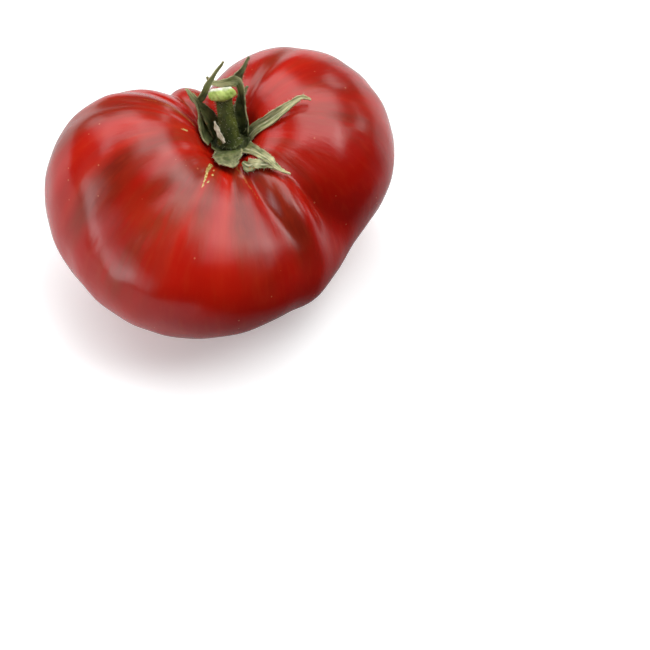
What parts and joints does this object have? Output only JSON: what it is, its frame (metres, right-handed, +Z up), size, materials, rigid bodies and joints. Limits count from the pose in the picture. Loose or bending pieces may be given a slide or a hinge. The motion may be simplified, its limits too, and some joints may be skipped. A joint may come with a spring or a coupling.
{
  "type": "tomato",
  "caption": "Whole ribbed beefsteak tomato with deeply creased shoulders, curled green calyx and a short stem with a swollen broken end.",
  "frame": {"origin": "on the flat spot under the fruit that it rests on, near the point under the middle of the fruit", "axes": "+Z up through the stem end, +X to the right across the two large lobes as the picture sees them, +Y away from the picture's camera"},
  "size_m": [0.1032, 0.0973, 0.0718],
  "materials": {
    "skin": "taut natural skin, glossy, deep red with brownish green shoulder streaks",
    "calyx": "dull green leaf with paler midribs and fine hairs",
    "stem": "ribbed hairy green stem with a pale rough broken end",
    "dry_petal": "dry, papery, cream"
  },
  "bodies": {
    "root": {"fruit": "skin", "calyx": "calyx", "stem": "stem", "dry_petal": "dry_petal"}
  },
  "joints": []
}
